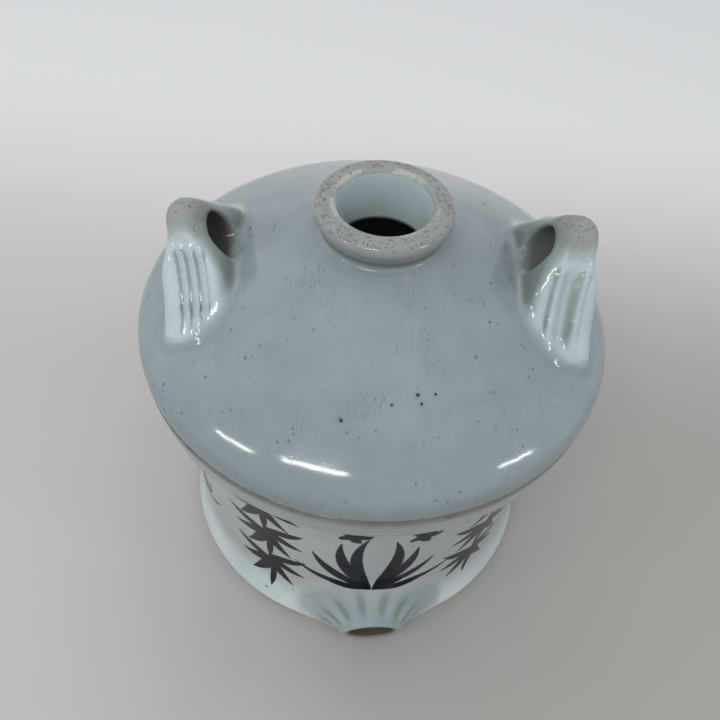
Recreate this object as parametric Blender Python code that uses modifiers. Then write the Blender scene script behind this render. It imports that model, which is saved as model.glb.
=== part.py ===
"""Glazed ceramic wine jar with a conical shoulder, two strap ears and a spigot boss.

The jar is built from the pieces that a potter forms one by one and lutes together before
the firing. Units are metres, +Z is up, and the origin is on the jar's axis at the floor.
"""
import math

import bmesh
import bpy
from mathutils import Matrix, Vector

# Clearances and resolution
JOINT_GAP = 0.0003
CUT_OVERRUN = 0.004
TURN_STEPS = 64
ROD_SEGMENTS = 40
MERGE_DISTANCE = 0.00001

# Foot and floor
FOOT_RING_HEIGHT = 0.004
FOOT_RING_WIDTH = 0.014
FOOT_RING_SETBACK = 0.0016
FOOT_RING_CHAMFER = 0.0012
FLOOR_THICKNESS = 0.0066
FLOOR_EDGE_CHAMFER = 0.001

# Body wall
BODY_TOP_RADIUS = 0.1420
BODY_WAIST_INSET = 0.0145
BODY_WAIST_HEIGHT = 0.0500
BODY_FOOT_FLARE = 0.0063
BODY_FOOT_EDGE = 0.0040
BODY_HEIGHT = 0.1990
WALL_THICKNESS = 0.0080

# Seam bead under the shoulder
BEAD_REACH = 0.0056
BEAD_NOSE_RADIUS = 0.0035
BEAD_SKIRT_DROP = 0.0140
BEAD_SKIRT_REACH = 0.0029

# Shoulder dome
SHOULDER_REACH = 0.0060
SHOULDER_RISE = 0.0695
SHOULDER_LIP_DROP = 0.0055
SHOULDER_ROLL_RADIUS = 0.0150
SHOULDER_EDGE_SLOPE = math.radians(35)
SHOULDER_NECK_SLOPE = math.radians(24)
SHOULDER_SHELL = 0.0080
SHOULDER_SEAT_WIDTH = 0.0120

# Mouth collar
MOUTH_RADIUS = 0.0270
COLLAR_WALL = 0.0132
COLLAR_WAIST_INSET = 0.0050
COLLAR_RISE = 0.0190
COLLAR_RIM_ROUND = 0.0045
COLLAR_MOUTH_ROUND = 0.0025
COLLAR_FILLET = 0.0030
COLLAR_TENON_WALL = 0.0060
COLLAR_TENON_DROP = 0.0030

# Ears
EAR_LINE_TURN = math.radians(3.8)
EAR_CROWN_ROUND = 0.0205
EAR_TUNNEL_RADIUS = 0.0130
EAR_HALF_LENGTH = 0.0570
EAR_TOE_THICKNESS = 0.0045
EAR_TOE_ROUND = 0.0060
EAR_TOE_DIP = 0.0015
EAR_INNER_SPREAD = 0.0090
EAR_FLUTE_DEPTH = 0.0014
EAR_CROWN_POWER = 2.5
EAR_TOE_POWER = 4.0
EAR_STATIONS = 31
EAR_SECTION_POINTS = 29
EAR_CROWN_WIDTH = 0.0350
LEFT_EAR_SETBACK = 0.0462
LEFT_EAR_LEAN = 0.0087
LEFT_EAR_RISE = 0.0395
LEFT_EAR_FOOT_WIDTH = 0.0375
LEFT_EAR_RIBS = 4
RIGHT_EAR_SETBACK = 0.0450
RIGHT_EAR_LEAN = 0.0095
RIGHT_EAR_RISE = 0.0440
RIGHT_EAR_FOOT_WIDTH = 0.0410
RIGHT_EAR_RIBS = 3

# Spigot boss
SPIGOT_AZIMUTH = math.radians(-81.3)
SPIGOT_BORE_RADIUS = 0.0120
SPIGOT_MOUTH_RADIUS = 0.0165
SPIGOT_AXIS_ABOVE_FLOOR = 0.0123
SPIGOT_REACH = 0.0121
SPIGOT_LIP = 0.0060
SPIGOT_FACE_TILT = math.radians(7)
SPIGOT_ROOT_FLARE = 0.0243
SPIGOT_FLARE_POWER = 1.2
SPIGOT_PETALS = 12
SPIGOT_PETAL_DEPTH = 0.0013
SPIGOT_FLOOR_CLEARANCE = 0.0010
SPIGOT_SEGMENTS = 72

# Levels and radii worked out from the sizes above
FLOOR_LEVEL = FOOT_RING_HEIGHT + JOINT_GAP + FLOOR_THICKNESS
WALL_FOOT_LEVEL = FOOT_RING_HEIGHT + JOINT_GAP
SEAM_LEVEL = WALL_FOOT_LEVEL + BODY_HEIGHT
LIP_LEVEL = SEAM_LEVEL + JOINT_GAP
EDGE_LEVEL = LIP_LEVEL + SHOULDER_LIP_DROP
EDGE_RADIUS = BODY_TOP_RADIUS + SHOULDER_REACH
BODY_WAIST_RADIUS = BODY_TOP_RADIUS - BODY_WAIST_INSET
BODY_FOOT_RADIUS = BODY_WAIST_RADIUS + BODY_FOOT_FLARE
COLLAR_RADIUS = MOUTH_RADIUS + COLLAR_WALL
COLLAR_WAIST_RADIUS = COLLAR_RADIUS - COLLAR_WAIST_INSET
TENON_RADIUS = MOUTH_RADIUS + COLLAR_TENON_WALL
NECK_RADIUS = COLLAR_WAIST_RADIUS + COLLAR_FILLET
NECK_LEVEL = EDGE_LEVEL + SHOULDER_RISE
RIM_LEVEL = NECK_LEVEL + COLLAR_RISE
LEFT_EAR_FOOT_RADIUS = EDGE_RADIUS - LEFT_EAR_SETBACK
RIGHT_EAR_FOOT_RADIUS = EDGE_RADIUS - RIGHT_EAR_SETBACK
SPIGOT_AXIS_LEVEL = FLOOR_LEVEL + SPIGOT_AXIS_ABOVE_FLOOR

# Glaze and clay colours
GLAZE = (0.39, 0.44, 0.44, 1.0)
WALL_GLAZE = (0.47, 0.47, 0.45, 1.0)
WORN_GLAZE = (0.42, 0.43, 0.41, 1.0)
FOOT_GLAZE = (0.56, 0.63, 0.66, 1.0)
BARE_CLAY = (0.30, 0.24, 0.17, 1.0)
GLAZE_ROUGHNESS = 0.14
CLAY_ROUGHNESS = 0.75


def clear_scene():
    for thing in list(bpy.data.objects):
        bpy.data.objects.remove(thing, do_unlink=True)


def new_collection(name):
    collection = bpy.data.collections.new(name)
    bpy.context.scene.collection.children.link(collection)
    return collection


def ceramic(name, colour, roughness):
    """Return a Principled material for fired clay or glaze."""
    material = bpy.data.materials.new(name)
    material.use_nodes = True
    shader = material.node_tree.nodes["Principled BSDF"]
    shader.inputs["Base Color"].default_value = colour
    shader.inputs["Roughness"].default_value = roughness
    shader.inputs["Metallic"].default_value = 0.0
    material.diffuse_color = colour
    return material


def arc(centre, radius, start, end, steps):
    """Points on a circular arc in the profile plane, angles in degrees from +X."""
    angles = [math.radians(start + (end - start) * i / steps) for i in range(steps + 1)]
    return [(centre[0] + radius * math.cos(a), centre[1] + radius * math.sin(a)) for a in angles]


def bend(first, control, last, steps):
    """Points on a quadratic curve from first to last that leans towards control."""
    points = []
    for i in range(steps + 1):
        t = i / steps
        weights = ((1 - t) ** 2, 2 * t * (1 - t), t ** 2)
        points.append(tuple(sum(w * p[k] for w, p in zip(weights, (first, control, last))) for k in (0, 1)))
    return points


def joined(*runs):
    """Join runs of points into one outline and leave out repeated points."""
    outline = []
    for point in (p for run in runs for p in run):
        if not outline or math.dist(point, outline[-1]) > MERGE_DISTANCE:
            outline.append(point)
    return outline


def offset(points, distance):
    """Move an open outline that runs from top to bottom outwards by a distance."""
    moved = []
    for i, point in enumerate(points):
        before = Vector(points[max(i - 1, 0)])
        after = Vector(points[min(i + 1, len(points) - 1)])
        along = (after - before).normalized()
        moved.append((point[0] - along.y * distance, point[1] + along.x * distance))
    return moved


def turned(name, outline, material, collection, closed=True):
    """Turn an outline about the jar's axis with a Screw modifier."""
    mesh = bpy.data.meshes.new(name)
    verts = [(x, 0, z) for x, z in outline]
    edges = [(i, i + 1) for i in range(len(verts) - 1)]
    if closed:
        edges.append((len(verts) - 1, 0))
    mesh.from_pydata(verts, edges, [])
    piece = bpy.data.objects.new(name, mesh)
    collection.objects.link(piece)
    screw = piece.modifiers.new("turn", "SCREW")
    screw.steps = TURN_STEPS
    screw.render_steps = TURN_STEPS
    screw.use_merge_vertices = True
    screw.merge_threshold = MERGE_DISTANCE
    screw.use_smooth_shade = True
    if material:
        mesh.materials.append(material)
    return piece


def lofted(name, rings, material, collection):
    """Skin rings that have the same number of points and close both ends."""
    work = bmesh.new()
    rows = [[work.verts.new(point) for point in ring] for ring in rings]
    count = len(rings[0])
    for first, second in zip(rows, rows[1:]):
        for i in range(count):
            work.faces.new((first[i], first[(i + 1) % count], second[(i + 1) % count], second[i]))
    work.faces.new(reversed(rows[0]))
    work.faces.new(rows[-1])
    bmesh.ops.recalc_face_normals(work, faces=work.faces)
    mesh = bpy.data.meshes.new(name)
    work.to_mesh(mesh)
    work.free()
    mesh.shade_smooth()
    if material:
        mesh.materials.append(material)
    piece = bpy.data.objects.new(name, mesh)
    collection.objects.link(piece)
    return piece


def rod(name, radius_a, radius_b, start, length, collection):
    """A round cutter that runs along +X from start, with radius a there and b at its far end."""
    mesh = bpy.data.meshes.new(name)
    work = bmesh.new()
    bmesh.ops.create_cone(work, cap_ends=True, segments=ROD_SEGMENTS,
                          radius1=radius_a, radius2=radius_b, depth=length)
    bmesh.ops.translate(work, verts=work.verts, vec=(0, 0, length / 2))
    bmesh.ops.rotate(work, verts=work.verts, cent=(0, 0, 0), matrix=Matrix.Rotation(math.pi / 2, 3, "Y"))
    bmesh.ops.translate(work, verts=work.verts, vec=start)
    work.to_mesh(mesh)
    work.free()
    tool = bpy.data.objects.new(name, mesh)
    collection.objects.link(tool)
    return as_cutter(tool)


def as_cutter(tool):
    tool.hide_render = True
    tool.display_type = "WIRE"
    return tool


def cut(piece, tool, name):
    boolean = piece.modifiers.new(name, "BOOLEAN")
    boolean.operation = "DIFFERENCE"
    boolean.solver = "EXACT"
    boolean.object = tool


# Outlines shared by pieces that meet
def wall_outline():
    """Outer side of the body wall, from its top down to its foot."""
    top = (BODY_TOP_RADIUS, SEAM_LEVEL)
    waist = (BODY_WAIST_RADIUS, BODY_WAIST_HEIGHT)
    foot = (BODY_FOOT_RADIUS, WALL_FOOT_LEVEL + BODY_FOOT_EDGE)
    upper = (BODY_WAIST_RADIUS, (SEAM_LEVEL + BODY_WAIST_HEIGHT) / 2)
    lower = (BODY_WAIST_RADIUS, (foot[1] + BODY_WAIST_HEIGHT) / 2)
    toe = (BODY_FOOT_RADIUS - FOOT_RING_SETBACK, WALL_FOOT_LEVEL)
    return joined(bend(top, upper, waist, 6), bend(waist, lower, foot, 4), [toe])


def dome_outline(flank_steps=9, roll_steps=6):
    """Outer side of the shoulder, from the neck down to the roll's tip."""
    roll = (EDGE_RADIUS - SHOULDER_ROLL_RADIUS, EDGE_LEVEL)
    tilt = 90 - math.degrees(SHOULDER_EDGE_SLOPE)
    rolled = arc(roll, SHOULDER_ROLL_RADIUS, tilt, 0, roll_steps)
    neck = (NECK_RADIUS, NECK_LEVEL)
    edge = rolled[0]
    steep = math.tan(SHOULDER_EDGE_SLOPE)
    easy = math.tan(SHOULDER_NECK_SLOPE)
    middle = (neck[1] - edge[1] + easy * neck[0] - steep * edge[0]) / (easy - steep)
    control = (middle, neck[1] - easy * (middle - neck[0]))
    return joined(bend(neck, control, edge, flank_steps), rolled)


def dome_level(radius):
    """Height of the dome's outer side at a radius."""
    outline = dome_outline()
    for (r0, z0), (r1, z1) in zip(outline, outline[1:]):
        if r0 <= radius <= r1:
            return z0 + (z1 - z0) * (radius - r0) / (r1 - r0)
    return NECK_LEVEL if radius < outline[0][0] else EDGE_LEVEL


# Turned pieces
def make_foot_ring(parts, clay):
    outer = BODY_FOOT_RADIUS - FOOT_RING_SETBACK
    inner = outer - FOOT_RING_WIDTH
    outline = [
        (outer, FOOT_RING_HEIGHT),
        (outer, FOOT_RING_CHAMFER),
        (outer - FOOT_RING_CHAMFER, 0),
        (inner + FOOT_RING_CHAMFER, 0),
        (inner, FOOT_RING_CHAMFER),
        (inner, FOOT_RING_HEIGHT),
    ]
    return turned("foot_ring", outline, clay, parts)


def make_floor(parts, clay):
    radius = BODY_FOOT_RADIUS - FOOT_RING_SETBACK - WALL_THICKNESS - JOINT_GAP
    outline = [
        (0, FLOOR_LEVEL),
        (radius - FLOOR_EDGE_CHAMFER, FLOOR_LEVEL),
        (radius, FLOOR_LEVEL - FLOOR_EDGE_CHAMFER),
        (radius, WALL_FOOT_LEVEL),
        (0, WALL_FOOT_LEVEL),
    ]
    return turned("jar_floor", outline, clay, parts, closed=False)


def make_body_wall(parts, cutters, glaze):
    outer = wall_outline()
    inner = [(r - WALL_THICKNESS, z) for r, z in reversed(outer)]
    wall = turned("body_wall", joined(outer, inner), glaze, parts)
    start = BODY_WAIST_RADIUS - WALL_THICKNESS - CUT_OVERRUN
    length = BODY_FOOT_RADIUS + CUT_OVERRUN - start
    tool = rod("spigot_hole_cutter", SPIGOT_BORE_RADIUS, SPIGOT_BORE_RADIUS,
               (start, 0, SPIGOT_AXIS_LEVEL), length, cutters)
    tool.rotation_euler.z = SPIGOT_AZIMUTH
    cut(wall, tool, "spigot_hole")
    return wall


def make_seam_bead(parts, glaze):
    inner = BODY_TOP_RADIUS + JOINT_GAP
    nose = (BODY_TOP_RADIUS + BEAD_REACH - BEAD_NOSE_RADIUS, SEAM_LEVEL - BEAD_NOSE_RADIUS)
    skirt = (inner + BEAD_SKIRT_REACH, SEAM_LEVEL - 2 * BEAD_NOSE_RADIUS - BEAD_SKIRT_DROP)
    rounded = arc(nose, BEAD_NOSE_RADIUS, 90, -30, 6)
    outline = joined([(inner, SEAM_LEVEL)], rounded, [skirt, (inner, skirt[1])])
    return turned("seam_bead", outline, glaze, parts)


def make_shoulder_dome(parts, glaze):
    outer = dome_outline()
    lip = (EDGE_RADIUS - SHOULDER_LIP_DROP, EDGE_LEVEL)
    tucked = arc(lip, SHOULDER_LIP_DROP, 0, -90, 5)
    seat = (BODY_TOP_RADIUS - SHOULDER_SEAT_WIDTH, LIP_LEVEL)
    hole = TENON_RADIUS + JOINT_GAP
    lining = offset(dome_outline(flank_steps=5, roll_steps=2), -SHOULDER_SHELL)
    inside = [(r, z) for r, z in reversed(lining) if hole < r < seat[0]]
    slope = math.tan(SHOULDER_NECK_SLOPE)
    crown = (hole, inside[-1][1] + slope * (inside[-1][0] - hole))
    collar_seat = (hole, NECK_LEVEL)
    outline = joined(outer, tucked, [seat], inside, [crown, collar_seat])
    return turned("shoulder_dome", outline, glaze, parts)


def make_mouth_collar(parts, glaze):
    rim = (COLLAR_RADIUS - COLLAR_RIM_ROUND, RIM_LEVEL - COLLAR_RIM_ROUND)
    lip = (MOUTH_RADIUS + COLLAR_MOUTH_ROUND, RIM_LEVEL - COLLAR_MOUTH_ROUND)
    cove = (NECK_RADIUS, NECK_LEVEL + JOINT_GAP + COLLAR_FILLET)
    foot = (NECK_RADIUS, NECK_LEVEL + JOINT_GAP)
    tenon_end = NECK_LEVEL - SHOULDER_SHELL - COLLAR_TENON_DROP
    outline = joined(
        arc(lip, COLLAR_MOUTH_ROUND, 180, 90, 4),
        arc(rim, COLLAR_RIM_ROUND, 90, -20, 6),
        arc(cove, COLLAR_FILLET, 180, 270, 4),
        [foot, (TENON_RADIUS, foot[1]), (TENON_RADIUS, tenon_end), (MOUTH_RADIUS, tenon_end)],
    )
    return turned("mouth_collar", outline, glaze, parts)


# Ears
def ear_levels(foot_radius, rise):
    """Heights of an ear's crown top and of its toe, from the dome under them."""
    toe = dome_level(math.hypot(foot_radius, EAR_HALF_LENGTH)) + EAR_TOE_THICKNESS
    return dome_level(foot_radius) + rise, toe


def ear_crest(along, crown, toe):
    """Height of an ear's top line: a round crown, straight legs and rounded toes."""
    centre = crown - EAR_CROWN_ROUND
    reach = math.hypot(EAR_HALF_LENGTH, toe - centre)
    leave = math.atan2(toe - centre, EAR_HALF_LENGTH) + math.acos(EAR_CROWN_ROUND / reach)
    turn = EAR_CROWN_ROUND * math.cos(leave)
    if abs(along) <= turn:
        return centre + math.sqrt(EAR_CROWN_ROUND ** 2 - along ** 2)
    top = centre + EAR_CROWN_ROUND * math.sin(leave)
    leg = top + (toe - top) * (abs(along) - turn) / (EAR_HALF_LENGTH - turn)
    past = max(0, abs(along) - EAR_HALF_LENGTH + EAR_TOE_ROUND) / EAR_TOE_ROUND
    return leg - (EAR_TOE_THICKNESS + EAR_TOE_DIP) * (1 - math.sqrt(max(0, 1 - past ** 2)))


def ear_section(along, crown, toe, foot_radius, lean, foot_width, ribs):
    """One cross-section of an ear: a rounded box with ribs on its top."""
    root = dome_level(EDGE_RADIUS) - CUT_OVERRUN
    crest = ear_crest(along, crown, toe)
    middle = foot_radius + lean * max(0, crest - toe) / (crown - toe)
    width = EAR_CROWN_WIDTH + (foot_width - EAR_CROWN_WIDTH) * (along / EAR_HALF_LENGTH) ** 2
    worn = min(1, abs(along) / EAR_CROWN_ROUND)
    power = 2 / (EAR_CROWN_POWER + (EAR_TOE_POWER - EAR_CROWN_POWER) * abs(along) / EAR_HALF_LENGTH)
    points = []
    for i in range(EAR_SECTION_POINTS):
        angle = math.pi * i / (EAR_SECTION_POINTS - 1)
        across = math.copysign(abs(math.cos(angle)) ** power, math.cos(angle))
        up = math.sin(angle) ** power
        rib = EAR_FLUTE_DEPTH * worn * up * math.cos(math.pi * ribs * across)
        spread = EAR_INNER_SPREAD * (1 - up) ** 2 if across < 0 else 0
        points.append((middle + across * width / 2 - spread, along, root + (crest - root) * up - rib))
    return points


def make_ear(name, azimuth, foot_radius, lean, rise, foot_width, ribs, parts, dome_tool, cutters, glaze):
    crown, toe = ear_levels(foot_radius, rise)
    stations = []
    for i in range(EAR_STATIONS):
        along = EAR_HALF_LENGTH * math.sin(math.pi * (i / (EAR_STATIONS - 1) - 0.5))
        stations.append(ear_section(along, crown, toe, foot_radius, lean, foot_width, ribs))
    ear = lofted(name, stations, glaze, parts)
    ear.rotation_euler.z = azimuth
    start = (foot_radius - foot_width - EAR_INNER_SPREAD, 0, crown - EAR_CROWN_ROUND)
    length = 2 * foot_width + 2 * EAR_INNER_SPREAD + lean
    tunnel = rod(name + "_tunnel_cutter", EAR_TUNNEL_RADIUS, EAR_TUNNEL_RADIUS, start, length, cutters)
    tunnel.rotation_euler.z = azimuth
    cut(ear, tunnel, "tunnel")
    cut(ear, dome_tool, "dome_seat")
    return ear


def make_dome_tool(cutters):
    """The space that the dome fills, grown by the joint gap, for seating the ears."""
    skin = offset(dome_outline(), JOINT_GAP)
    low = EDGE_LEVEL - SHOULDER_ROLL_RADIUS - CUT_OVERRUN
    outline = [(0, skin[0][1])] + skin + [(skin[-1][0], low), (0, low)]
    return as_cutter(turned("dome_seat_cutter", outline, None, cutters, closed=False))


# Spigot boss
def boss_ring(reach, radius, lobes, tilt):
    """A lobed ring round the boss's axis, at a distance from the jar's axis, tipped to face down."""
    points = []
    for i in range(SPIGOT_SEGMENTS):
        angle = 2 * math.pi * i / SPIGOT_SEGMENTS
        swell = radius + lobes * math.cos(SPIGOT_PETALS * angle)
        rise = swell * math.sin(angle)
        points.append((reach + math.tan(tilt) * rise, swell * math.cos(angle), SPIGOT_AXIS_LEVEL + rise))
    return points


def make_spigot_boss(parts, cutters, wall_tool, glaze):
    tip = BODY_FOOT_RADIUS + SPIGOT_REACH
    root = BODY_WAIST_RADIUS - WALL_THICKNESS
    lip = SPIGOT_MOUTH_RADIUS + SPIGOT_LIP
    flare = lip + SPIGOT_ROOT_FLARE
    nose = SPIGOT_LIP / 2
    rings = []
    steps = 8
    for i in range(steps + 1):
        t = i / steps
        reach = root + (tip - nose - root) * t
        radius = lip + (flare - lip) * (1 - t) ** SPIGOT_FLARE_POWER
        rings.append(boss_ring(reach, radius, SPIGOT_PETAL_DEPTH * (1 - t ** 2), SPIGOT_FACE_TILT * t))
    rings.append(boss_ring(tip, lip - nose, 0, SPIGOT_FACE_TILT))
    boss = lofted("spigot_boss", rings, glaze, parts)
    boss.rotation_euler.z = SPIGOT_AZIMUTH
    length = tip + CUT_OVERRUN - root
    grown = SPIGOT_MOUTH_RADIUS + (SPIGOT_MOUTH_RADIUS - SPIGOT_BORE_RADIUS) * CUT_OVERRUN / length
    start = (root - CUT_OVERRUN, 0, SPIGOT_AXIS_LEVEL)
    bore = rod("spigot_bore_cutter", SPIGOT_BORE_RADIUS, grown, start, length + CUT_OVERRUN, cutters)
    bore.rotation_euler.z = SPIGOT_AZIMUTH
    cut(boss, wall_tool, "wall_seat")
    cut(boss, bore, "bore")
    cut(boss, make_floor_tool(cutters), "flat_under_side")
    return boss


def make_wall_tool(cutters):
    """The space that the wall and foot ring fill, grown by the joint gap, for seating the boss."""
    skin = [(r + JOINT_GAP, z) for r, z in wall_outline()]
    low = -CUT_OVERRUN
    outline = [(0, skin[0][1])] + skin + [(skin[-1][0], low), (0, low)]
    return as_cutter(turned("wall_seat_cutter", outline, None, cutters, closed=False))


def make_floor_tool(cutters):
    """A slab that trims the boss just above the surface that the jar stands on."""
    work = bmesh.new()
    bmesh.ops.create_cube(work, size=1)
    mesh = bpy.data.meshes.new("boss_under_cutter")
    work.to_mesh(mesh)
    work.free()
    tool = bpy.data.objects.new("boss_under_cutter", mesh)
    depth = SPIGOT_MOUTH_RADIUS + SPIGOT_ROOT_FLARE + SPIGOT_LIP
    tool.scale = (2 * EDGE_RADIUS + depth, 2 * EDGE_RADIUS + depth, 2 * depth)
    tool.location.z = SPIGOT_FLOOR_CLEARANCE - depth
    cutters.objects.link(tool)
    return as_cutter(tool)


def build():
    clear_scene()
    parts = new_collection("ceramic_wine_jar")
    cutters = new_collection("cutters")
    glaze = ceramic("shoulder_glaze", GLAZE, GLAZE_ROUGHNESS)
    wall_glaze = ceramic("wall_glaze", WALL_GLAZE, GLAZE_ROUGHNESS)
    worn_glaze = ceramic("worn_glaze", WORN_GLAZE, GLAZE_ROUGHNESS)
    foot_glaze = ceramic("foot_glaze", FOOT_GLAZE, GLAZE_ROUGHNESS)
    clay = ceramic("bare_clay", BARE_CLAY, CLAY_ROUGHNESS)
    make_foot_ring(parts, clay)
    make_floor(parts, clay)
    make_body_wall(parts, cutters, wall_glaze)
    make_seam_bead(parts, glaze)
    make_shoulder_dome(parts, glaze)
    make_mouth_collar(parts, glaze)
    dome_tool = make_dome_tool(cutters)
    make_ear("ear_right", EAR_LINE_TURN, RIGHT_EAR_FOOT_RADIUS, RIGHT_EAR_LEAN, RIGHT_EAR_RISE,
             RIGHT_EAR_FOOT_WIDTH, RIGHT_EAR_RIBS, parts, dome_tool, cutters, worn_glaze)
    make_ear("ear_left", EAR_LINE_TURN + math.pi, LEFT_EAR_FOOT_RADIUS, LEFT_EAR_LEAN, LEFT_EAR_RISE,
             LEFT_EAR_FOOT_WIDTH, LEFT_EAR_RIBS, parts, dome_tool, cutters, worn_glaze)
    make_spigot_boss(parts, cutters, make_wall_tool(cutters), foot_glaze)


build()
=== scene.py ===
"""Glazed skins, worn finishes and brushwork for the ceramic wine jar.

Units are metres, +Z is up and the origin is where the jar's axis meets the floor.
"""
import math

import bpy
import numpy as np
from mathutils import Matrix, Quaternion, Vector


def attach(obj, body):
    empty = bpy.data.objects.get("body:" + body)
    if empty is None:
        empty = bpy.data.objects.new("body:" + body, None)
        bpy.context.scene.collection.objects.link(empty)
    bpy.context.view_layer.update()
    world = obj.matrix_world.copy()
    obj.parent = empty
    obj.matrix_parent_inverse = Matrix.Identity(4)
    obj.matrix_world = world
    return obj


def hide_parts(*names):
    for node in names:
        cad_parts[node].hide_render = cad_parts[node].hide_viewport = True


# Levels and radii of the jar
RIM_LEVEL = 0.2976
NECK_LEVEL = 0.2791
NECK_RADIUS = 0.0370
EDGE_LEVEL = 0.2091
EDGE_RADIUS = 0.1480
LIP_LEVEL = 0.2036
WALL_TOP_RADIUS = 0.1420
WAIST_RADIUS = 0.1275
WAIST_LEVEL = 0.0500
FOOT_RADIUS = 0.1338
FOOT_LEVEL = 0.0043
HEEL_ROUND = 0.0018
HEEL_RISE = 0.0040
SHELL = 0.0080

# Collar
MOUTH_RADIUS = 0.0270
COLLAR_RADIUS = 0.0402
COLLAR_WAIST = 0.0355
RIM_ROUND = 0.0048
MOUTH_ROUND = 0.0030
COVE_ROUND = 0.0038
COVE_LAP = 0.0006
TENON_RADIUS = 0.0330
TENON_END = 0.2625

# Shoulder
ROLL_ROUND = 0.0150
ROLL_END = 50
EASE_ROUND = 0.0800
EASE_END = 60
LIP_ROUND = 0.0055
NECK_SLOPE = math.radians(24)
SEAT_WIDTH = 0.0120

# Band under the shoulder
BAND_LAP = 0.0001
BAND_NOSE_REACH = 0.0021
BAND_NOSE_DROP = 0.0038
BAND_NOSE_ROUND = 0.0035
BAND_TURN_REACH = 0.0033
BAND_TURN_DROP = 0.0012
BAND_SKIRT_REACH = 0.0032
BAND_SKIRT_DROP = 0.0195
BAND_BOW = 0.0004
BAND_BOW_DROP = 0.0040
BAND_HEEL_ROUND = 0.0014
BAND_TUCK = 0.0040
BAND_TUCK_DROP = 0.0030

# Ears
EAR_TURN = math.radians(3.8)
EAR_HALF_LENGTH = 0.0570
EAR_CROWN_ROUND = 0.0205
EAR_CROWN_WIDTH = 0.0390
EAR_TOE_THICKNESS = 0.0045
EAR_TOE_ROUND = 0.0060
EAR_LEG_BULGE = -0.0006
EAR_TUNNEL_RADIUS = 0.0130
EAR_INNER_SPREAD = 0.0030
EAR_FILLET = 0.0070
EAR_CROWN_EDGE = 0.0180
EAR_LEG_EDGE = 0.0080
EAR_TUNNEL_EDGE = 0.0040
EAR_RIB_FADE = 0.0030
EAR_RIB_LIFT = 0.35
EAR_FLUTE_FADE = 0.22
EAR_BEAD_HEIGHT = 0.0004
EAR_BEAD_REACH = 0.0024
EAR_JOINT_REACH = 0.0045
EAR_SKIN_HALF = (0.0400, 0.0780)
EAR_SKIN_FLOOR = 0.2140
EAR_SKIN_END = 0.2165
EAR_SKIN_ABOVE = 0.0040
LEFT_EAR = {
    "azimuth": EAR_TURN + math.pi,
    "foot_radius": 0.1030,
    "lean": 0.0112,
    "crown": 0.2860,
    "foot_width": 0.0345,
    "drop_out": 0.0090,
    "drop_in": 0.0060,
    "rib_pitch": 0.0054,
    "fluted_share": 0.36,
    "tunnel_shade": 1.0,
    "rib_depth": 0.0007,
    "knuckle": 0.0220,
}
RIGHT_EAR = {
    "azimuth": EAR_TURN,
    "foot_radius": 0.1038,
    "lean": 0.0106,
    "crown": 0.2898,
    "foot_width": 0.0410,
    "drop_out": 0.0090,
    "drop_in": 0.0010,
    "rib_pitch": 0.0150,
    "fluted_share": 0.42,
    "tunnel_shade": 0.6,
    "rib_depth": 0.0018,
    "knuckle": 0.0228,
}

# Spigot boss
SPIGOT_AZIMUTH = math.radians(-81.3)
SPIGOT_LEVEL = 0.0232
SPIGOT_ROOT = WAIST_RADIUS - SHELL
SPIGOT_TIP = 0.1459
SPIGOT_NOSE = 0.0030
SPIGOT_BORE = 0.0120
SPIGOT_MOUTH = 0.0165
SPIGOT_LIP = 0.0225
SPIGOT_FLARE = 0.0468
SPIGOT_FLARE_POWER = 1.2
SPIGOT_TILT = math.radians(7)
SPIGOT_PETALS = 12
SPIGOT_PETAL_DEPTH = 0.0013
SPIGOT_CLEARANCE = 0.0011
SPIGOT_CUT_EDGE = 0.0030
BOSS_FILLET = 0.0120
BOSS_MOUND_REACH = 0.0100
BOSS_SKIN_REACH = 0.1320
BOSS_SKIN_SIDE = 0.0660
BOSS_SKIN_FRONT = 0.0240
BOSS_SKIN_BACK = 0.0340
BOSS_SKIN_TOP = 0.0820

# Brushwork, where the wall's skin is also finer
BRUSH_RADIUS = WAIST_RADIUS + 0.0040
INK_REACH = 0.0100
INK_MARGIN = 0.0050
BRUSHED_FROM = -168
BRUSHED_TO = 8
FINE_TURN = 0.45
COARSE_TURN = 1.6

# Finishes and studio
GLAZE_SHEEN = 0.38
WALL_SHEEN = 0.06
FLOOR_HALF = 4
LAMP_TARGET = (0, 0, 0.22)
CAMERA_PLACE = (0, -0.3165, 0.5523)

# Meshing
SINK = 0.00012
FINE_CELL = 0.0012
SLOPE_STEP = 0.0002


# Shapes as distance fields
def smooth_union(a, b, reach):
    """Distance to two solids pressed together, with a fillet that starts at a distance."""
    near = np.maximum(reach - np.abs(a - b), 0) / reach
    return np.minimum(a, b) - near ** 2 * reach / 4


def smooth_overlap(a, b, reach):
    return -smooth_union(-a, -b, reach)


def round_overlap(a, b, radius):
    """Distance to what two solids share, with a round edge of a radius."""
    outside = np.hypot(np.maximum(a + radius, 0), np.maximum(b + radius, 0))
    return np.minimum(np.maximum(a, b), -radius) + outside


def smooth_cut(a, b, reach):
    return smooth_overlap(a, -b, reach)


def outline_field(across, up, outline):
    """Distance from a closed outline in a plane, negative inside it."""
    nearest = np.full(len(across), np.inf)
    inside = np.zeros(len(across), bool)
    outline = np.asarray(outline)
    for a, b in zip(outline, np.roll(outline, -1, axis=0)):
        run, rise = b - a
        along = ((across - a[0]) * run + (up - a[1]) * rise) / (run * run + rise * rise)
        along = np.clip(along, 0, 1)
        gap = (across - a[0] - along * run) ** 2 + (up - a[1] - along * rise) ** 2
        nearest = np.minimum(nearest, gap)
        if rise:
            level = (a[1] > up) != (b[1] > up)
            inside ^= level & (across < a[0] + (up - a[1]) * run / rise)
    return np.where(inside, -1, 1) * np.sqrt(nearest)


def turned_field(points, outline):
    return outline_field(np.hypot(points[:, 0], points[:, 1]), points[:, 2], outline)


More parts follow.
